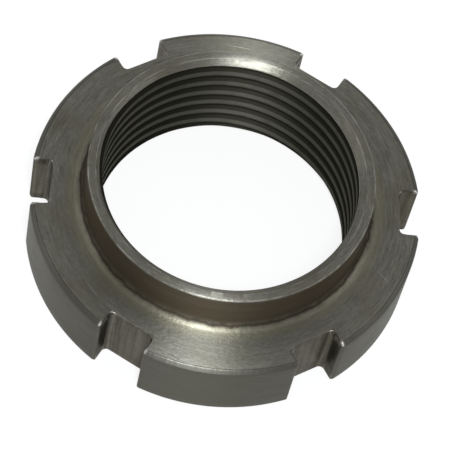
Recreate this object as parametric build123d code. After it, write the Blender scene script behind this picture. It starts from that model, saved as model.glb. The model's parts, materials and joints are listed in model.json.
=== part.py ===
from build123d import *
import math
import os

# Round castle nut: a turned steel flange with a short hub, threaded through,
# and with hook-spanner slots milled right across its rim.
#
# Millimetres.  The nut's axis is +Z and its bearing face lies in Z = 0, centred
# on the origin, with the hub pointing up.  One slot is centred on +X.
#
# The thread is held as a tapped hole's bore usually is: a plain wall over the
# thread's crests, with a countersink to just past its major diameter at each end.

# Driving dimensions, each set by itself
FLANGE_DIAMETER = 88.0
FLANGE_THICKNESS = 17.5
RIM_CHAMFER = 0.8          # 45 degrees, on both outer edges of the flange
HUB_DIAMETER = 64.0
HUB_RISE = 10.5            # hub's end above the flange's face
HUB_ROOT_RADIUS = 2.6      # concave fillet where the hub leaves the flange
HUB_EDGE_BREAK = 0.3
THREAD_DIAMETER = 60.0     # nominal, at the roots of an internal thread
THREAD_HEIGHT = 1.5        # from root to the broad crests
COUNTERSINK_MARGIN = 0.1   # how far a countersink's mouth passes the roots
COUNTERSINK_SLOPE = 33.0   # degrees from the face
SLOT_COUNT = 6
SLOT_WIDTH = 11.0
SLOT_DEPTH = 4.8
SLOT_ROOT_RADIUS = 1.2     # left by the milling cutter in each corner
TOOTH_CORNER_RADIUS = 0.7  # where a slot's wall meets the rim
SLOT_EDGE_BREAK = 0.25     # filed off the slots' edges on both faces

# Worked out from them
FLANGE_RADIUS = FLANGE_DIAMETER / 2
HUB_RADIUS = HUB_DIAMETER / 2
OVERALL_HEIGHT = FLANGE_THICKNESS + HUB_RISE
BORE_RADIUS = THREAD_DIAMETER / 2 - THREAD_HEIGHT
MOUTH_RADIUS = THREAD_DIAMETER / 2 + COUNTERSINK_MARGIN
COUNTERSINK_DEPTH = (MOUTH_RADIUS - BORE_RADIUS) * math.tan(math.radians(COUNTERSINK_SLOPE))
SLOT_FLOOR_RADIUS = FLANGE_RADIUS - SLOT_DEPTH


def distance_from_axis(shape):
    """How far a shape's middle lies from the nut's axis."""
    middle = shape.center()
    return math.hypot(middle.X, middle.Y)


def turned_blank():
    """Half-section through the flange, hub and bore, revolved about the axis."""
    section = Polyline(
        (BORE_RADIUS, COUNTERSINK_DEPTH),
        (MOUTH_RADIUS, 0),
        (FLANGE_RADIUS - RIM_CHAMFER, 0),
        (FLANGE_RADIUS, RIM_CHAMFER),
        (FLANGE_RADIUS, FLANGE_THICKNESS - RIM_CHAMFER),
        (FLANGE_RADIUS - RIM_CHAMFER, FLANGE_THICKNESS),
        (HUB_RADIUS, FLANGE_THICKNESS),
        (HUB_RADIUS, OVERALL_HEIGHT - HUB_EDGE_BREAK),
        (HUB_RADIUS - HUB_EDGE_BREAK, OVERALL_HEIGHT),
        (MOUTH_RADIUS, OVERALL_HEIGHT),
        (BORE_RADIUS, OVERALL_HEIGHT - COUNTERSINK_DEPTH),
        close=True,
    )
    face = make_face(section)
    root = face.vertices().sort_by_distance((HUB_RADIUS, FLANGE_THICKNESS, 0))[0]
    return revolve(Plane.XZ * fillet(root, HUB_ROOT_RADIUS), Axis.Z)


def toothed_outline():
    """The flange seen along its axis: a disc less the slots, with its corners rounded."""
    slots = PolarLocations(FLANGE_RADIUS, SLOT_COUNT) * Rectangle(2 * SLOT_DEPTH, SLOT_WIDTH)
    outline = Circle(FLANGE_RADIUS) - slots
    between = (FLANGE_RADIUS + math.hypot(SLOT_FLOOR_RADIUS, SLOT_WIDTH / 2)) / 2
    roots = [v for v in outline.vertices() if distance_from_axis(v) < between]
    outline = fillet(roots, SLOT_ROOT_RADIUS)
    corners = [v for v in outline.vertices() if distance_from_axis(v) > FLANGE_RADIUS - SLOT_EDGE_BREAK]
    return fillet(corners, TOOTH_CORNER_RADIUS)


def milled_envelope():
    """What the slots leave room for: the outline standing along the axis, its edges on both faces broken."""
    outline = toothed_outline()
    flange = extrude(outline, FLANGE_THICKNESS)
    on_faces = flange.edges().filter_by(Plane.XY)
    above = Pos(0, 0, FLANGE_THICKNESS) * extrude(outline, HUB_RISE)
    return chamfer(on_faces, SLOT_EDGE_BREAK) + above


def castle_nut():
    """The turned blank with its slots milled and their edges broken."""
    return turned_blank() & milled_envelope()


def main():
    os.makedirs("parts", exist_ok=True)
    nut = castle_nut()
    nut.label = "castle_nut"
    export_step(nut, "parts/castle_nut.step")


main()
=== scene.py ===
import json
import math
from types import SimpleNamespace

import bmesh
import bpy
import numpy as np
from bpy.props import FloatProperty, FloatVectorProperty, PointerProperty
from mathutils import Matrix, Vector


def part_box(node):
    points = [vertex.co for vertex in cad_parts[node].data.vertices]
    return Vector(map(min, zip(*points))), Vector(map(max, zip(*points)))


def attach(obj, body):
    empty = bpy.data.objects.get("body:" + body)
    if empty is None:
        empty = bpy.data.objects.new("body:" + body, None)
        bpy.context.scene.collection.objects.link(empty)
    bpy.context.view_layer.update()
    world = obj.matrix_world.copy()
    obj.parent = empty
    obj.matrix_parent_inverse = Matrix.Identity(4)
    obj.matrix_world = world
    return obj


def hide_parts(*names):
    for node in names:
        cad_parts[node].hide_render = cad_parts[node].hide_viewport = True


bl_info = {
    "name": "Round Castle Nut",
    "version": (1, 0, 0),
    "blender": (4, 5, 0),
    "location": "View3D > Sidebar > Castle Nut",
    "description": "Builds a turned, threaded and slotted round nut and its plain studio",
    "category": "Add Mesh",
}

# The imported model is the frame: the nut's overall sizes and its bore come from it.
# Lengths are in metres, with the thread's axis on +Z and the bearing face in Z = 0.
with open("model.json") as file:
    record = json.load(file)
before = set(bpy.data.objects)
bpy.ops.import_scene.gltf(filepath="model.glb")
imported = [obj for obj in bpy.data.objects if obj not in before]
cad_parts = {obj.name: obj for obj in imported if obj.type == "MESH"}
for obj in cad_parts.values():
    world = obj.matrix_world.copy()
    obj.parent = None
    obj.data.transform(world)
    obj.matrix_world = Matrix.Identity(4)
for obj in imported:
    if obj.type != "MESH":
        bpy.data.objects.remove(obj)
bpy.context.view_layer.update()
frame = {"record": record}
NUT_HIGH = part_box("castle_nut")[1]
OVERALL_HEIGHT = NUT_HIGH.z
FLANGE_RADIUS = NUT_HIGH.y
THREAD_MOUNT = next(m for m in frame["record"]["mounts"] if m["name"] == "thread")
CREST_RADIUS = THREAD_MOUNT["dims"]["r_mm"] / 1000
COUNTERSINK_DEPTH = (OVERALL_HEIGHT - THREAD_MOUNT["dims"]["length_mm"] / 1000) / 2
OPENINGS = frame["record"]["physics"]["openings"]
SLOT_COUNT = sum(opening["name"].startswith("spanner_slot") for opening in OPENINGS)
MM = 0.001

# How finely the surface is divided
STRAIGHT_POINTS = 4       # half of a slot's floor, and its wall
ROOT_POINTS = 6           # the cutter's fillet at a slot's floor
CORNER_POINTS = 7         # a tooth's rounded corner
RIM_POINTS = 19           # half of a tooth's rim
FILLET_RINGS = 9          # the hub's root fillet
LONGEST_STEP = 2.6 * MM   # between two rings of the outside
COUNTERSINK_ROWS = (0, 0.25, 0.5, 0.75, 0.96, 1.04)   # as shares of the countersink's depth
MERGE_DISTANCE = 2e-6
SHARP_ANGLE = math.radians(38)   # a bend past this stays a crisp edge

# The studio
LAMP_DISTANCE = 0.9       # from the bearing face's centre
FLOOR_HALF = 1.5          # half the floor's side
SENSOR_WIDTH = 36         # in millimetres
WHITE = (1.0, 1.0, 1.0, 1.0)


# ---------------------------------------------------------------- sizes and colours

class NutSizes(bpy.types.PropertyGroup):
    """The nut's turned and milled sizes that its overall box doesn't give."""
    flange_thickness: FloatProperty(
        name="Flange thickness", description="From the bearing face to the flange's upper face",
        default=17.5 * MM, unit="LENGTH")
    rim_chamfer: FloatProperty(
        name="Rim chamfer", description="45 degree chamfer on both outer edges of the flange",
        default=0.8 * MM, unit="LENGTH")
    hub_radius: FloatProperty(
        name="Hub radius", description="Outside of the hub", default=32 * MM, unit="LENGTH")
    hub_root_radius: FloatProperty(
        name="Hub root radius", description="Concave fillet where the hub leaves the flange",
        default=2.6 * MM, unit="LENGTH")
    hub_edge_break: FloatProperty(
        name="Hub edge break", description="Small chamfer on the hub's outer edge",
        default=0.3 * MM, unit="LENGTH")
    slot_width: FloatProperty(
        name="Slot width", description="Between a slot's two walls", default=11 * MM, unit="LENGTH")
    slot_depth: FloatProperty(
        name="Slot depth", description="From the rim to a slot's floor",
        default=4.8 * MM, unit="LENGTH")
    slot_root_radius: FloatProperty(
        name="Slot root radius", description="Left by the cutter along a slot's floor",
        default=1.2 * MM, unit="LENGTH")
    tooth_corner_radius: FloatProperty(
        name="Tooth corner radius", description="Where a slot's wall meets the rim",
        default=0.7 * MM, unit="LENGTH")
    slot_edge_break: FloatProperty(
        name="Slot edge break", description="Filed off the slots' edges on both faces",
        default=0.25 * MM, unit="LENGTH")
    edge_softness: FloatProperty(
        name="Edge softness", description="How far from a turned corner its rounding starts",
        default=0.11 * MM, unit="LENGTH")


class ThreadSizes(bpy.types.PropertyGroup):
    """The internal thread and the countersinks at its ends."""
    root_radius: FloatProperty(
        name="Root radius", description="Half the thread's nominal diameter",
        default=30 * MM, unit="LENGTH")
    mouth_radius: FloatProperty(
        name="Mouth radius", description="Countersink at the faces",
        default=30.1 * MM, unit="LENGTH")
    pitch: FloatProperty(
        name="Pitch", description="From one thread to the next", default=4 * MM, unit="LENGTH")
    root_flat: FloatProperty(
        name="Root flat", description="Flat at the bottom of the groove",
        default=0.5 * MM, unit="LENGTH")
    flank_angle: FloatProperty(
        name="Flank angle", description="Half of the thread's included angle",
        default=math.radians(30), subtype="ANGLE")
    start: FloatProperty(
        name="Thread start", description="Height of a groove's middle on the +X side",
        default=0.77 * MM, unit="LENGTH")
    softness: FloatProperty(
        name="Crest softness", description="Rounding of the crests and roots",
        default=0.12 * MM, unit="LENGTH")


class SteelFinish(bpy.types.PropertyGroup):
    """Colours and shine of the turned steel."""
    turned: FloatVectorProperty(
        name="Turned steel", description="Faces left by the lathe tool",
        subtype="COLOR", size=3, min=0, max=1, default=(0.205, 0.201, 0.172))
    oxide: FloatVectorProperty(
        name="Oxide", description="Brownish film on the hub's wall",
        subtype="COLOR", size=3, min=0, max=1, default=(0.062, 0.050, 0.033))
    # the whole bore in this darker steel: partly oiled, partly painted shade of the bore
    crest: FloatVectorProperty(
        name="Thread crests", description="Oiled steel on the thread's crests",
        subtype="COLOR", size=3, min=0, max=1, default=(0.078, 0.077, 0.061))
    # a dark colour for oily darkening with painted shade in the thread, and for painted shade in
    # the slots' inner corners
    oil: FloatVectorProperty(
        name="Oil and painted shade", description="What lies in the thread's roots and the slots' corners",
        subtype="COLOR", size=3, min=0, max=1, default=(0.034, 0.033, 0.024))
    # also used, lighter still, for painted glints on the teeth's upper corners
    bright: FloatVectorProperty(
        name="Bright wear and painted glints", description="Rubbed edges and light scratches",
        subtype="COLOR", size=3, min=0, max=1, default=(0.46, 0.45, 0.42))
    roughness: FloatProperty(
        name="Roughness", description="Of clean, smooth steel", default=0.30, min=0, max=1)
    anisotropy: FloatProperty(
        name="Brushing", description="How much the lathe's rings stretch a highlight",
        default=0.9, min=0, max=1)
    relief: FloatProperty(
        name="Relief", description="Height that the streaks seem to stand",
        default=0.04 * MM, min=0, unit="LENGTH")


class StudioSettings(bpy.types.PropertyGroup):
    """Camera, lamps and floor."""
    camera_distance: FloatProperty(
        name="Camera distance", description="From the bearing face's centre",
        default=0.598, unit="LENGTH")
    camera_elevation: FloatProperty(
        name="Camera elevation", description="Above the floor",
        default=math.radians(59.98), subtype="ANGLE")
    camera_phase: FloatProperty(
        name="Camera turn", description="Clockwise round the axis from straight in front",
        default=math.radians(10.18), subtype="ANGLE")
    camera_roll: FloatProperty(
        name="Camera roll", description="About its own line of sight",
        default=math.radians(13.79), subtype="ANGLE")
    camera_yaw: FloatProperty(
        name="Camera yaw", description="Aim to the right of the centre",
        default=math.radians(0.11), subtype="ANGLE")
    camera_pitch: FloatProperty(
        name="Camera pitch", description="Aim above the centre",
        default=math.radians(0.25), subtype="ANGLE")
    focal_length: FloatProperty(
        name="Focal length", description="In millimetres, on a 36 mm sensor", default=208.8)
    floor_colour: FloatVectorProperty(
        name="Floor", description="Pale studio floor", subtype="COLOR", size=3, min=0, max=1,
        default=(0.93, 0.93, 0.93))
    floor_whiteness: FloatProperty(
        name="Floor whiteness", description="How far the floor's look is moved to plain white",
        default=0.8, min=0, max=1)
    lamp_power: FloatProperty(
        name="Lamp power", description="Of the lamp above", default=6.6, min=0, unit="POWER")
    side_power: FloatProperty(
        name="Side lamp power", description="Of the lamp on each side",
        default=0.5, min=0, unit="POWER")
    lamp_tint: FloatVectorProperty(
        name="Lamp tint", description="Colour of the lamp above", subtype="COLOR", size=3,
        min=0, max=1, default=(0.93, 0.96, 1.0))
    sky_level: FloatProperty(
        name="Sky level", description="Brightness of the even surround", default=0.58)


# ---------------------------------------------------------------- shader helpers

class Value:
    """A shader socket that can be used in ordinary sums: each operator adds its Math node."""

    def __init__(self, nodes, socket):
        self.nodes, self.socket = nodes, socket

    def __add__(self, other):
        return self.nodes.math("ADD", self, other)

    def __radd__(self, other):
        return self.nodes.math("ADD", other, self)

    def __sub__(self, other):
        return self.nodes.math("SUBTRACT", self, other)

    def __rsub__(self, other):
        return self.nodes.math("SUBTRACT", other, self)

    def __mul__(self, other):
        return self.nodes.math("MULTIPLY", self, other)

    def __rmul__(self, other):
        return self.nodes.math("MULTIPLY", other, self)

    def __truediv__(self, other):
        return self.nodes.math("DIVIDE", self, other)

    def __rtruediv__(self, other):
        return self.nodes.math("DIVIDE", other, self)

    def __pow__(self, other):
        return self.nodes.math("POWER", self, other)

    def __rpow__(self, other):
        return self.nodes.math("POWER", other, self)

    def __abs__(self):
        return self.nodes.math("ABSOLUTE", self)

    def at_most(self, other):
        return self.nodes.math("MINIMUM", self, other)

    def at_least(self, other):
        return self.nodes.math("MAXIMUM", self, other)

    def sine(self):
        return self.nodes.math("SINE", self)

    def cosine(self):
        return self.nodes.math("COSINE", self)

    def rounded(self):
        return self.nodes.math("ROUND", self)

    def fraction(self):
        return self.nodes.math("FRACT", self)

    def ramp(self, low, high):
        """0 below low, 1 above high and smooth between; with low above high it falls instead."""
        settings = {"interpolation_type": "SMOOTHSTEP", "clamp": True}
        return self.nodes.add("ShaderNodeMapRange", settings, self, low, high)

    def near(self, middle, reach):
        """1 at the middle, falling smoothly to 0 at the reach on both sides."""
        return abs(self - middle).ramp(reach, 0.0)


class Nodes:
    """Adds nodes to one tree, each from its type, its settings and its inputs."""

    def __init__(self, tree):
        self.tree = tree
        tree.nodes.clear()

    def add(self, kind, settings, *values, out=0, numbered=None, **named):
        """One new node. Its settings are set first, then its inputs, which come in order, by
        number or by name; a name's underscores stand for spaces."""
        node = self.tree.nodes.new(kind)
        for name, value in settings.items():
            setattr(node, name, value)
        for key, value in [*enumerate(values), *(numbered or {}).items(), *named.items()]:
            socket = node.inputs[key if isinstance(key, int) else key.replace("_", " ")]
            if isinstance(value, Value):
                self.tree.links.new(value.socket, socket)
            else:
                socket.default_value = value
        return Value(self, node.outputs[out]) if node.outputs else None

    def outputs(self, kind, *values):
        """One new node, and every output it has by name."""
        node = self.add(kind, {}, *values).socket.node
        return {socket.name: Value(self, socket) for socket in node.outputs}

    def math(self, operation, *values):
        """One Math node on values or numbers."""
        return self.add("ShaderNodeMath", {"operation": operation}, *values)

    def mix(self, factor, first, second):
        """A colour between two. The Mix node's inputs 0, 6 and 7 are its factor and its colours,
        and its output 2 is the colour."""
        return self.add("ShaderNodeMix", {"data_type": "RGBA"}, out=2,
                        numbered={0: factor, 6: first, 7: second})

    def noise(self, vector, scale, detail, roughness):
        """A noise between 0 and 1."""
        return self.add("ShaderNodeTexNoise", {}, Vector=vector, Scale=scale, Detail=detail,
                        Roughness=roughness)

    def combine(self, x, y, z):
        """A vector from three values."""
        return self.add("ShaderNodeCombineXYZ", {}, x, y, z)


def tone(colour, *factors):
    """A colour for a socket, made lighter or darker by one factor or by one for each channel."""
    factors = factors or (1.0,)
    factors = factors * 3 if len(factors) == 1 else factors
    return (*(channel * factor for channel, factor in zip(colour, factors)), 1.0)


# ---------------------------------------------------------------- the nut's surface

def tooth_outline(sizes):
    """The flange's outline seen along the axis, with each point's outward direction.

    Half a sector runs from a slot's middle to the next tooth's middle: along the straight
    floor, round the root fillet, along the wall, round the tooth's corner and along the rim.
    It is mirrored about the slot's middle and repeated round the axis.
    Returns the points, the outward directions and, for each point, an angle about the axis
    that grows evenly with the distance gone along the outline.
    """
    floor = FLANGE_RADIUS - sizes.slot_depth
    half, root, corner = sizes.slot_width / 2, sizes.slot_root_radius, sizes.tooth_corner_radius
    corner_x = math.sqrt((FLANGE_RADIUS - corner) ** 2 - (half + corner) ** 2)
    corner_turn = math.atan2(half + corner, corner_x)
    tooth_middle = math.pi / SLOT_COUNT

    def steps(count):
        """The middles of that many equal parts of 0 to 1."""
        return (np.arange(count) + 0.5) / count

    y = steps(STRAIGHT_POINTS) * (half - root)
    pieces = [(np.full_like(y, floor), y, np.zeros_like(y))]
    turn = math.pi - steps(ROOT_POINTS) * math.pi / 2
    x, y = floor + root + root * np.cos(turn), half - root + root * np.sin(turn)
    pieces.append((x, y, turn + math.pi))
    x = floor + root + steps(STRAIGHT_POINTS) * (corner_x - floor - root)
    pieces.append((x, np.full_like(x, half), np.full_like(x, -math.pi / 2)))
    turn = -math.pi / 2 + steps(CORNER_POINTS) * (corner_turn + math.pi / 2)
    x, y = corner_x + corner * np.cos(turn), half + corner + corner * np.sin(turn)
    pieces.append((x, y, turn))
    turn = corner_turn + steps(RIM_POINTS) * (tooth_middle - corner_turn)
    pieces.append((FLANGE_RADIUS * np.cos(turn), FLANGE_RADIUS * np.sin(turn), turn))
    x, y, facing = (np.concatenate(parts) for parts in zip(*pieces))

    points = np.stack([np.r_[x[::-1], x], np.r_[-y[::-1], y]], axis=1)
    facing = np.r_[-facing[::-1], facing]
    outward = np.stack([np.cos(facing), np.sin(facing)], axis=1)
    turns = np.arange(SLOT_COUNT) * 2 * math.pi / SLOT_COUNT
    spin = np.array([[np.cos(turns), -np.sin(turns)], [np.sin(turns), np.cos(turns)]])
    points = np.einsum("ijk,nj->kni", spin, points).reshape(-1, 2)
    outward = np.einsum("ijk,nj->kni", spin, outward).reshape(-1, 2)

    gap = np.linalg.norm(np.roll(points, -1, axis=0) - points, axis=1)
    gone = np.r_[0, np.cumsum(gap)]
    around = 2 * math.pi * (gone[:-1] + gap[-1] / 2) / gone[-1] - tooth_middle
    return points, outward, around


def soft_least(a, b, softness):
    """The smaller of two, rounded where they cross: half of their sum less the root of their
    difference squared plus the softness squared."""
    return (a + b - np.sqrt((a - b) ** 2 + softness ** 2)) / 2


def soft_most(a, b, softness):
    """The larger of two, rounded where they cross: half of their sum plus the same root."""
    return (a + b + np.sqrt((a - b) ** 2 + softness ** 2)) / 2


def groove_height(thread, around):
    """Height of the groove's middle: it climbs a pitch in each turn, as on a right-hand thread."""
    return thread.start + thread.pitch * around / (2 * math.pi)


def bore_radius(thread, around, height):
    """Radius of the bore's wall.

    Across one pitch it is the crest's radius, rising along both flanks to the root's.
    The countersinks' cones widen it at both ends, and the larger of the two counts.
    """
    pitch, slope = thread.pitch, 1 / math.tan(thread.flank_angle)
    across = (height - groove_height(thread, around) + pitch / 2) % pitch - pitch / 2
    flank = thread.root_radius - (np.abs(across) - thread.root_flat / 2) * slope
    wall = soft_most(np.full_like(flank, CREST_RADIUS), flank, thread.softness)
    wall = soft_least(wall, thread.root_radius, thread.softness)
    depth = np.minimum(height, OVERALL_HEIGHT - height)
    cone = thread.mouth_radius - depth * (thread.mouth_radius - CREST_RADIUS) / COUNTERSINK_DEPTH
    return soft_most(wall, cone, thread.softness / 2)


def bore_heights(thread, around):
    """Heights of the grid's rows at each angle, from the top face down.

    Rows follow the groove's corners up the helix, cut off at both faces, and others stay level
    at the countersinks' ends. Sorting them at each angle keeps the grid in order.
    """
    flank_width = (thread.root_radius - CREST_RADIUS) * math.tan(thread.flank_angle)
    inner, outer = thread.root_flat / 2, thread.root_flat / 2 + flank_width
    near = 0.6 * thread.softness
    corners = np.array([inner - near, inner + near, outer - near, outer, outer + near])
    crest_middle = thread.pitch / 2
    on_crest = (outer + crest_middle) / 2
    across = np.r_[-on_crest, -corners[::-1], corners, on_crest, crest_middle]
    turns = np.arange(-2, math.ceil(OVERALL_HEIGHT / thread.pitch) + 2)
    middles = groove_height(thread, around)[None, :] + thread.pitch * turns[:, None]
    climbing = (middles[:, None, :] + across[None, :, None]).reshape(-1, len(around))
    level = np.array(COUNTERSINK_ROWS) * COUNTERSINK_DEPTH
    level = np.r_[level, OVERALL_HEIGHT - level]
    level = np.repeat(level[:, None], len(around), axis=1)
    rows = np.clip(np.r_[climbing, level], 0, OVERALL_HEIGHT)
    return np.sort(rows, axis=0)[::-1]


def softened(loops, softness):
    """Rounds each corner of the profile.

    loops are the profile's corners, each carried round as an array of points. Every one but the
    first and last becomes points of the curve (1-t)^2 A + 2t(1-t) B + t^2 C, where B is the corner
    and A and C lie the softness away from it towards its neighbours, or a third of the way.
    """
    rounded = [loops[0]]
    for before, corner, after in zip(loops, loops[1:], loops[2:]):
        ends = []
        for other in (before, after):
            run = other - corner
            length = np.linalg.norm(run, axis=1, keepdims=True)
            ends.append(corner + run / length * np.minimum(softness, length / 3))
        for t in (0, 1 / 3, 2 / 3, 1):
            rounded.append((1 - t) ** 2 * ends[0] + 2 * t * (1 - t) * corner + t ** 2 * ends[1])
    return rounded + [loops[-1]]


def filled(loops):
    """Adds evenly spaced rings where two are further apart than the longest step."""
    dense = [loops[0]]
    for before, after in zip(loops, loops[1:]):
        gap = np.median(np.linalg.norm(after - before, axis=1))
        count = max(1, math.ceil(gap / LONGEST_STEP))
        dense += [before + (after - before) * step / count for step in range(1, count + 1)]
    return dense


def outside_loops(sizes, thread, outline, outward, around):
    """The nut's outside as rings of points, from the lower countersink round to the upper one.

    A profile is carried round the axis: bearing face, chamfer, rim or slot, chamfer, upper face,
    root fillet, hub and hub face. On the flange it follows the toothed outline, and on the hub
    it follows a circle.
    """
    def ring(radius, height):
        height = np.broadcast_to(height, around.shape)
        return np.stack([radius * np.cos(around), radius * np.sin(around), height], axis=1)

    def toothed(points, height):
        return np.column_stack([points, np.broadcast_to(height, len(points))])

    def mouth(height):
        return ring(bore_radius(thread, around, np.full_like(around, height)), height)

    thickness, top = sizes.flange_thickness, OVERALL_HEIGHT
    inner_rim = FLANGE_RADIUS - sizes.rim_chamfer
    shrunk = outline - outward * sizes.slot_edge_break
    reach = np.linalg.norm(shrunk, axis=1, keepdims=True)
    face_edge = shrunk * np.minimum(1, inner_rim / reach)
    drop = np.maximum(sizes.slot_edge_break, np.linalg.norm(outline, axis=1) - inner_rim)

    low_face, low_wall = toothed(face_edge, 0.0), toothed(outline, drop)
    high_wall, high_face = toothed(outline, thickness - drop), toothed(face_edge, thickness)
    bend, root = sizes.hub_root_radius, sizes.hub_radius + sizes.hub_root_radius
    fillet = [ring(root + bend * np.cos(turn), thickness + bend * (1 + np.sin(turn)))
              for turn in np.linspace(-math.pi / 2, -math.pi, FILLET_RINGS)]
    hub, edge = sizes.hub_radius, sizes.hub_edge_break

    flange_rings = softened([mouth(0.0), low_face, low_wall, high_wall, high_face, fillet[0]],
                            sizes.edge_softness)
    hub_rings = softened([fillet[-1], ring(hub, top - edge), ring(hub - edge, top), mouth(top)],
                         sizes.edge_softness / 2)
    return filled(flange_rings)[:-1] + fillet + filled(hub_rings)[1:]


def grid_faces(rows, columns):
    """Quads of a grid, row by row, open along its last column."""
    corner = np.arange(rows - 1)[:, None] * columns + np.arange(columns - 1)
    quads = np.stack([corner, corner + 1, corner + columns + 1, corner + columns], axis=-1)
    return quads.reshape(-1, 4)


def mesh_object(name, points, faces):
    """A merged, closed mesh with its faces outwards, smooth but for edges past the sharp angle."""
    mesh = bpy.data.meshes.new(name)
    mesh.from_pydata(points, [], faces)
    work = bmesh.new()
    work.from_mesh(mesh)
    bmesh.ops.remove_doubles(work, verts=work.verts, dist=MERGE_DISTANCE)
    bmesh.ops.dissolve_degenerate(work, edges=work.edges, dist=MERGE_DISTANCE / 2)
    bmesh.ops.recalc_face_normals(work, faces=work.faces)
    for face in work.faces:
        face.smooth = True
    for edge in work.edges:
        edge.smooth = edge.calc_face_angle(0) < SHARP_ANGLE
    work.to_mesh(mesh)
    work.free()
    thing = bpy.data.objects.new(name, mesh)
    bpy.context.scene.collection.objects.link(thing)
    return thing


def nut_surface(sizes, thread):
    """The whole nut as one closed surface: the outside's rings, then the threaded bore's rows.

    The grid's columns run round the axis and meet themselves; the bore's last row is the
    outside's first.
    """
    outline, outward, around = tooth_outline(sizes)
    outline, outward = np.r_[outline, outline[:1]], np.r_[outward, outward[:1]]
    around = np.r_[around, around[0] + 2 * math.pi]
    outside = np.stack(outside_loops(sizes, thread, outline, outward, around))
    heights = bore_heights(thread, around)
    radii = bore_radius(thread, around[None, :], heights)
    bore = np.stack([radii * np.cos(around), radii * np.sin(around), heights], axis=-1)
    grid = np.concatenate([outside, bore])
    faces = grid_faces(len(grid), len(around))
    return mesh_object("castle_nut_turned", grid.reshape(-1, 3), faces.tolist())


# ---------------------------------------------------------------- materials

# Straight scratches on the flange's upper face: two ends in millimetres from the axis, and a width
DARK_SCRATCHES = (
    ((-13.1, -39.4), (-7.4, -42.3), 0.30),
    ((2.0, -41.2), (10.5, -37.6), 0.16),
)
LIGHT_SCRATCHES = (
    ((-31.0, -23.5), (-26.5, -28.8), 0.14),
    ((33.5, -15.0), (37.5, -19.2), 0.14),
    ((-3.0, 40.8), (7.0, 39.6), 0.16),
    ((-39.5, 9.0), (-38.0, 13.5), 0.14),
)


class SteelPoint:
    """Where a point of the steel lies, in millimetres and radians, as shader values."""

    def __init__(self, nodes, thread):
        self.nodes = nodes
        coordinates = nodes.outputs("ShaderNodeTexCoord")["Object"]
        self.place = nodes.add("ShaderNodeVectorMath", {"operation": "SCALE"}, coordinates,
                               Scale=1 / MM)
        self.x, self.y, self.z = nodes.outputs("ShaderNodeSeparateXYZ", self.place).values()
        self.radius = (self.x * self.x + self.y * self.y) ** 0.5
        angle = nodes.math("ARCTAN2", self.y, self.x)

        # Each slot's own coordinates: outward from the axis, and across from the slot's middle
        sector = 2 * math.pi / SLOT_COUNT
        turn = angle - (angle / sector).rounded() * sector
        self.slot_out, self.slot_across = self.radius * turn.cosine(), self.radius * turn.sine()

        # Where the point stands in the thread's pitch: 0 in a groove's middle, a half in a crest's
        climb = (self.z - thread.start / MM) / (thread.pitch / MM) - angle / (2 * math.pi)
        self.winding = climb.fraction()

    def streaks(self, across, along, detail=2.0, shift=0.0):
        """Streaks round the axis: a noise read at three numbers.

        They are the east and north parts of the point's direction from the axis, each times the
        number along, so that a streak closes on itself, and the radius plus the height, times
        the number across. A shift gives other streaks of the same kind.
        """
        east, north = self.x / self.radius, self.y / self.radius
        vector = self.nodes.combine(east * along, north * along,
                                    (self.radius + self.z) * across + shift)
        return self.nodes.noise(vector, 1.0, detail, 0.6)

    def scratches(self, lines):
        """Straight scratches with faint ends.

        Each is where the distance gone along its line is near half the line's length, and the
        distance aside from the line is near nothing.
        """
        masks = []
        for start, end, width in lines:
            run = Vector(end) - Vector(start)
            ahead = run.normalized()
            east_gone, north_gone = self.x - start[0], self.y - start[1]
            along = east_gone * ahead.x + north_gone * ahead.y
            aside = east_gone * ahead.y - north_gone * ahead.x
            masks.append(aside.near(0, width) * along.near(run.length / 2, run.length / 2))
        return sum(masks[1:], masks[0])


def steel_marks(nodes, point):
    """Noises that the marks of the lathe and of the cutter, and the stains, are read from."""
    in_slot = nodes.combine(point.slot_across * 0.9, point.slot_out * 0.9, point.z * 0.05)
    return SimpleNamespace(
        fine=point.streaks(across=3.2, along=3.0),
        coarse=point.streaks(across=0.55, along=1.6, detail=3.0, shift=40.0),
        short=point.streaks(across=2.2, along=7.0, detail=4.0, shift=90.0),
        grain=point.streaks(across=2.0, along=34.0, shift=140.0),
        cloud=nodes.noise(point.place, scale=0.085, detail=4.0, roughness=0.55),
        patch=nodes.noise(point.place, scale=0.22, detail=3.0, roughness=0.6),
        speck=nodes.noise(point.place, scale=0.9, detail=3.0, roughness=0.6),
        milled=nodes.noise(in_slot, scale=1.0, detail=2.0, roughness=0.5),
    )


def thread_masks(point, marks, thread):
    """Inside the bore, and where it is darker still: painted shadow with oily darkening in the
    grooves, painted shade on the lower part of each crest, a darker lowest turn by the bearing face
    and oily patches. Lengths are in millimetres."""
    radius, z = point.radius, point.z
    crest, root = CREST_RADIUS / MM, thread.root_radius / MM
    countersink = (OVERALL_HEIGHT - COUNTERSINK_DEPTH) / MM
    bore = radius.ramp(root + 0.3, root + 0.12)
    groove = radius.ramp(crest + 0.02, crest + 0.14)
    crest_shade = point.winding.ramp(0.46, 0.31) * 0.9
    lowest_turn = z.ramp(3.4, 2.6) * 0.7
    # painted shadow in the grooves and painted shade on each crest's lower part, with the lowest
    # turn darker
    darkened_places = groove.at_least(crest_shade).at_least(lowest_turn)
    return SimpleNamespace(
        inside=bore * z.ramp(0.1, 0.9) * z.ramp(countersink - 0.5, countersink - 1.0),
        dirt=(darkened_places + marks.patch.ramp(0.5, 0.7) * 0.35).at_most(1),
    )


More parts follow.
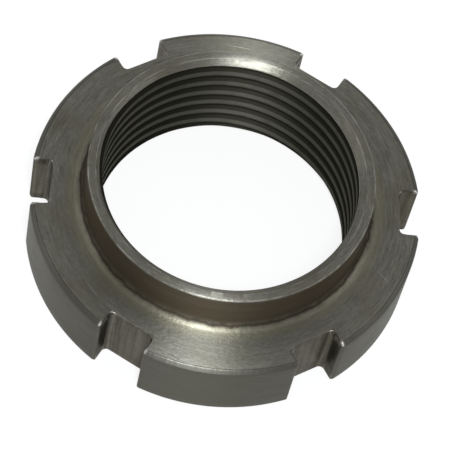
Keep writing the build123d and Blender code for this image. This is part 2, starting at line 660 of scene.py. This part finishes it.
def hub_masks(point, marks, sizes, thread):
    """The hub's wall, its foot, its root fillet, a lighter olive band on the flange round it, which
    is a painted sheen beside the fillet, and its two upper edges. Lengths are in millimetres."""
    radius, z = point.radius, point.z
    hub, root = sizes.hub_radius / MM, thread.root_radius / MM
    thickness, top = sizes.flange_thickness / MM, OVERALL_HEIGHT / MM
    below_top = z.ramp(top - 0.5, top - 1.5)
    wandering = radius + marks.coarse * 1.4 + marks.patch * 1.2
    return SimpleNamespace(
        wall=(radius.near(hub, 0.9) * z.ramp(thickness + 0.6, thickness + 1.5)
              * z.ramp(top - 0.15, top - 0.4)),
        foot=(radius + (marks.patch - 0.5) * 1.4).near(hub + 0.75, 0.5) * below_top,
        fillet=wandering.ramp(hub + 3.2, hub + 1.8) * radius.ramp(hub - 0.2, hub) * below_top,
        # a lighter olive band, a painted sheen beside the root fillet
        olive_band=(radius + marks.cloud * 2.0).near(hub + 3.4, 2.6) * z.near(thickness, 2.0),
        edge=radius.near(hub - 0.15, 0.3) * z.near(top, 0.45),
        mouth_edge=radius.near(root + 0.1, 0.22) * z.near(top, 0.3),
    )


def rim_masks(point, sizes):
    """The flange, its slots with their corners, its wall, its upper chamfer with the line inside
    it, and the teeth's upper corners. Lengths are in millimetres."""
    radius, z = point.radius, point.z
    hub, rim = sizes.hub_radius / MM, FLANGE_RADIUS / MM
    thickness, chamfer = sizes.flange_thickness / MM, sizes.rim_chamfer / MM
    slot_half, slot_floor = sizes.slot_width / 2 / MM, rim - sizes.slot_depth / MM
    from_middle = abs(point.slot_across)
    flange = radius.ramp(hub + 1.5, hub + 3.0)
    level = z.ramp(0.0, 0.3) * z.ramp(thickness, thickness - 0.3)
    slot = flange * radius.ramp(rim - 0.1, rim - 0.35) * level
    return SimpleNamespace(
        flange=flange,
        slot=slot,
        # where painted shade darkens the slots' inner corners
        slot_corner=(from_middle.near(slot_half - 0.3, 0.4)
                     * point.slot_out.near(slot_floor + 0.3, 0.6) * slot),
        # where the rim's wall is painted darker, as shade
        wall=(flange * z.ramp(thickness - 0.1, thickness - chamfer)
              * radius.ramp(rim - 0.6, rim - 0.1)),
        # the chamfer, painted darker as shade
        chamfer=(radius.ramp(rim - chamfer, rim - chamfer + 0.1)
                 * z.ramp(thickness - 0.82, thickness - 0.74)),
        # a dark line painted along the turned edge, as shade
        line=radius.near(rim - chamfer - 0.15, 0.28) * z.ramp(thickness - 0.2, thickness),
        # where glints are painted on the teeth's upper corners
        corner=(from_middle.near(slot_half + 0.3, 0.5) * radius.ramp(rim - 1.5, rim - 0.9)
                * z.ramp(thickness - 0.8, thickness - 0.4)),
    )


def steel_layers(point, marks, bore, hub, rim, finish):
    """What lies on the plain steel, one over another: how much of each layer, and its colour."""
    steel, fine, short = finish.turned, marks.fine, marks.short
    grain, patch = marks.grain, marks.patch
    rubbed = (hub.edge + hub.mouth_edge) * short.ramp(0.4, 0.65) * 0.6
    return [
        # the lathe's streaks, broad and browner clouds, and a lighter olive band round the hub, a
        # painted sheen beside the root fillet
        (fine.ramp(0.3, 0.75) * 0.4, tone(steel, 0.66)),
        (short.ramp(0.50, 0.68) * 0.45, tone(steel, 1.5)),
        (short.ramp(0.47, 0.30) * 0.5, tone(steel, 0.55)),
        (grain.ramp(0.50, 0.70) * 0.3, tone(steel, 1.55)),
        (grain.ramp(0.48, 0.30) * 0.25, tone(steel, 0.6)),
        (marks.cloud.ramp(0.38, 0.68) * 0.45, tone(steel, 0.74, 0.70, 0.58)),
        # painted sheen round the hub, in a lighter olive
        (hub.olive_band * 0.6, tone(steel, 1.24, 1.21, 1.0)),
        # painted shade: the rim's wall and the slots in darker copies of the steel, the slots also
        # browner from the cutter
        # painted shade on the rim's wall
        (rim.wall * 0.9, tone(steel, 0.35, 0.345, 0.315)),
        # painted shade in the slots, with a browner tint from the cutter
        (rim.slot * (0.55 + marks.milled.ramp(0.35, 0.65) * 0.3), tone(steel, 0.27, 0.24, 0.18)),
        # painted shade along the slots' inner corners
        (rim.slot_corner * 0.8, tone(finish.oil)),
        # brown film on the hub, darkest at its foot
        (hub.fillet * (0.45 + patch * 0.4), tone(finish.oxide, 1.4)),
        (hub.wall * (0.7 + marks.coarse * 0.5).at_most(1), tone(finish.oxide)),
        (hub.foot * 0.7, tone(finish.oxide, 0.35)),
        # the thread: darker, oiled steel with painted shade over the whole bore, then painted
        # shadow in the grooves, painted shade on each crest's lower part, a darker lowest turn and
        # oily patches
        # painted shade over the whole bore, with oiled steel
        (bore.inside * 0.95, tone(finish.crest)),
        # painted shadow in the grooves and painted shade on the crests' lower parts, with oily
        # patches
        (bore.inside * bore.dirt * 0.96, tone(finish.oil)),
        # a painted dark line along the rim's turned edge, the chamfer painted darker as shade,
        # rubbed edges, painted glints on the teeth's upper corners, and the flange's scratches
        # painted shade: a dark line along the rim's turned edge
        (rim.line * 0.65, tone(steel, 0.2)),
        # painted shade on the chamfer
        (rim.chamfer, tone(steel, 0.55)),
        (rubbed.at_most(1), tone(finish.bright)),
        # painted glints on the teeth's upper corners
        (rim.corner * patch.ramp(0.35, 0.6), tone(finish.bright, 2.0)),
        (point.scratches(DARK_SCRATCHES) * rim.flange * 0.6, tone(steel, 0.3)),
        (point.scratches(LIGHT_SCRATCHES) * rim.flange * 0.6, tone(finish.bright)),
    ]


def turned_steel(finish, sizes, thread):
    """Turned steel: lathe streaks, milled slots, a brown film on the hub, oiled steel in the
    thread, rubbed edges and a few scratches, with painted shade on the rim's wall, its chamfer, the
    slots and the bore, painted shadow in the thread's grooves, a painted dark line on the rim's
    edge, a painted sheen round the hub and painted glints on the teeth's corners."""
    material = bpy.data.materials.new("turned_steel")
    material.use_nodes = True
    nodes = Nodes(material.node_tree)
    point = SteelPoint(nodes, thread)
    marks = steel_marks(nodes, point)
    bore = thread_masks(point, marks, thread)
    hub = hub_masks(point, marks, sizes, thread)
    rim = rim_masks(point, sizes)

    colour = tone(finish.turned)
    for amount, over in steel_layers(point, marks, bore, hub, rim, finish):
        colour = nodes.mix(amount, colour, over)

    rough = (finish.roughness + marks.fine * 0.10 + marks.cloud * 0.06 + hub.wall * 0.1
             + hub.fillet * 0.16 + bore.inside * 0.28 + rim.slot * 0.08
             + marks.short.ramp(0.5, 0.3) * 0.08)
    height = (marks.fine * 0.5 + marks.coarse * 0.5 + marks.short * 1.7 + marks.grain * 1.7
              + marks.speck * 0.8 + marks.milled * rim.slot * 0.6)
    bump = nodes.add("ShaderNodeBump", {}, Strength=0.4, Distance=finish.relief, Height=height)

    # A quarter turn lays the brushing along the rings
    shader = nodes.add("ShaderNodeBsdfPrincipled", {}, Base_Color=colour, Metallic=1.0,
                       Roughness=rough, Normal=bump, Anisotropic=finish.anisotropy,
                       Anisotropic_Rotation=0.25)
    nodes.add("ShaderNodeOutputMaterial", {}, shader)
    return material


def floor_paint(colour, whiteness):
    """Plain pale paint that looks part way to white, so the nut's shadow stays on it, light."""
    material = bpy.data.materials.new("pale_floor")
    material.use_nodes = True
    nodes = Nodes(material.node_tree)
    rays = nodes.outputs("ShaderNodeLightPath")
    seen = rays["Is Camera Ray"] + rays["Is Glossy Ray"] + rays["Is Transmission Ray"]
    paint = nodes.add("ShaderNodeBsdfDiffuse", {}, tone(colour))
    white = nodes.add("ShaderNodeEmission", {}, WHITE, 1.0)
    shown = nodes.add("ShaderNodeMixShader", {}, seen.at_most(1) * whiteness, paint, white)
    nodes.add("ShaderNodeOutputMaterial", {}, shown)
    return material


# ---------------------------------------------------------------- operators

class CASTLENUT_OT_build_nut(bpy.types.Operator):
    """Build the threaded and slotted nut"""
    bl_idname = "castle_nut.build_nut"
    bl_label = "Build Castle Nut"
    bl_options = {"REGISTER", "UNDO"}

    def execute(self, context):
        scene = context.scene
        sizes, thread = scene.nut_sizes, scene.thread_sizes
        nut = nut_surface(sizes, thread)
        nut.data.materials.append(turned_steel(scene.steel_finish, sizes, thread))
        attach(nut, "root")
        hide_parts("castle_nut")
        return {"FINISHED"}


def direction(bearing, elevation):
    """The unit vector at a bearing, anticlockwise from +X about the axis, and an elevation."""
    level = math.cos(elevation)
    return Vector((level * math.cos(bearing), level * math.sin(bearing), math.sin(elevation)))


def area_lamp(studio, name, turn, elevation, size, power, tint=(1, 1, 1)):
    """A soft rectangular lamp that faces the nut's middle.

    Its turn and elevation are in degrees. The turn is anticlockwise, seen from above, and starts
    at the side of the nut that is far from the camera.
    """
    bearing = math.radians(90 + turn) - studio.camera_phase
    place = direction(bearing, math.radians(elevation)) * LAMP_DISTANCE
    aim = Vector((0, 0, OVERALL_HEIGHT / 2))
    data = bpy.data.lights.new(name, "AREA")
    data.shape = "RECTANGLE"
    data.size, data.size_y = size
    data.energy = power
    data.color = tint
    lamp = bpy.data.objects.new(name, data)
    lamp.location = place
    lamp.rotation_euler = (aim - place).to_track_quat("-Z", "Y").to_euler()
    bpy.context.scene.collection.objects.link(lamp)


def aim_camera(scene, studio):
    """The camera looks at the bearing face's centre, then yaws, pitches and rolls about itself."""
    data = bpy.data.cameras.new("camera")
    data.lens = studio.focal_length
    data.sensor_width = SENSOR_WIDTH
    camera = bpy.data.objects.new("camera", data)
    scene.collection.objects.link(camera)
    bearing = -math.pi / 2 - studio.camera_phase
    place = direction(bearing, studio.camera_elevation) * studio.camera_distance
    ahead = -place.normalized()
    right = ahead.cross(Vector((0, 0, 1))).normalized()
    up = right.cross(ahead)
    base = Matrix((right, up, -ahead)).transposed().to_4x4()
    turned = (Matrix.Rotation(-studio.camera_yaw, 4, "Y")
              @ Matrix.Rotation(studio.camera_pitch, 4, "X")
              @ Matrix.Rotation(studio.camera_roll, 4, "Z"))
    camera.matrix_world = Matrix.Translation(place) @ base @ turned
    scene.camera = camera


class CASTLENUT_OT_set_studio(bpy.types.Operator):
    """Put the nut on a pale floor in soft light and aim the camera"""
    bl_idname = "castle_nut.set_studio"
    bl_label = "Set Up Studio"
    bl_options = {"REGISTER", "UNDO"}

    def execute(self, context):
        scene, studio = context.scene, context.scene.studio_settings
        corners = [(x * FLOOR_HALF, y * FLOOR_HALF, 0)
                   for x, y in ((-1, -1), (1, -1), (1, 1), (-1, 1))]
        mesh = bpy.data.meshes.new("floor")
        mesh.from_pydata(corners, [], [(0, 1, 2, 3)])
        floor = bpy.data.objects.new("floor", mesh)
        scene.collection.objects.link(floor)
        mesh.materials.append(floor_paint(studio.floor_colour, studio.floor_whiteness))

        world = bpy.data.worlds.new("even_surround")
        scene.world = world
        world.use_nodes = True
        nodes = Nodes(world.node_tree)
        sky = nodes.add("ShaderNodeBackground", {}, WHITE, studio.sky_level)
        nodes.add("ShaderNodeOutputWorld", {}, sky)

        area_lamp(studio, "lamp_above", turn=186, elevation=66, size=(0.20, 0.24),
                  power=studio.lamp_power, tint=studio.lamp_tint)
        for name, turn in (("lamp_left", 92), ("lamp_right", -84)):
            area_lamp(studio, name, turn, elevation=32, size=(0.5, 0.4), power=studio.side_power)

        aim_camera(scene, studio)
        scene.view_settings.view_transform = "Standard"
        return {"FINISHED"}


class CASTLENUT_PT_panel(bpy.types.Panel):
    """Lists the nut's sizes, finish and studio"""
    bl_idname = "CASTLENUT_PT_panel"
    bl_label = "Round Castle Nut"
    bl_space_type = "VIEW_3D"
    bl_region_type = "UI"
    bl_category = "Castle Nut"

    def draw(self, context):
        layout = self.layout
        for title, name in (("Nut", "nut_sizes"), ("Thread", "thread_sizes"),
                            ("Finish", "steel_finish"), ("Studio", "studio_settings")):
            box = layout.box()
            box.label(text=title)
            group = getattr(context.scene, name)
            for key in type(group).__annotations__:
                box.prop(group, key)
        layout.operator(CASTLENUT_OT_build_nut.bl_idname)
        layout.operator(CASTLENUT_OT_set_studio.bl_idname)


GROUPS = {"nut_sizes": NutSizes, "thread_sizes": ThreadSizes, "steel_finish": SteelFinish,
          "studio_settings": StudioSettings}
CLASSES = (*GROUPS.values(), CASTLENUT_OT_build_nut, CASTLENUT_OT_set_studio, CASTLENUT_PT_panel)


def register():
    for cls in CLASSES:
        bpy.utils.register_class(cls)
    for name, group in GROUPS.items():
        setattr(bpy.types.Scene, name, PointerProperty(type=group))


def unregister():
    for name in GROUPS:
        delattr(bpy.types.Scene, name)
    for cls in reversed(CLASSES):
        bpy.utils.unregister_class(cls)


def main():
    register()
    bpy.ops.castle_nut.build_nut()
    bpy.ops.castle_nut.set_studio()


if __name__ == "__main__":
    main()
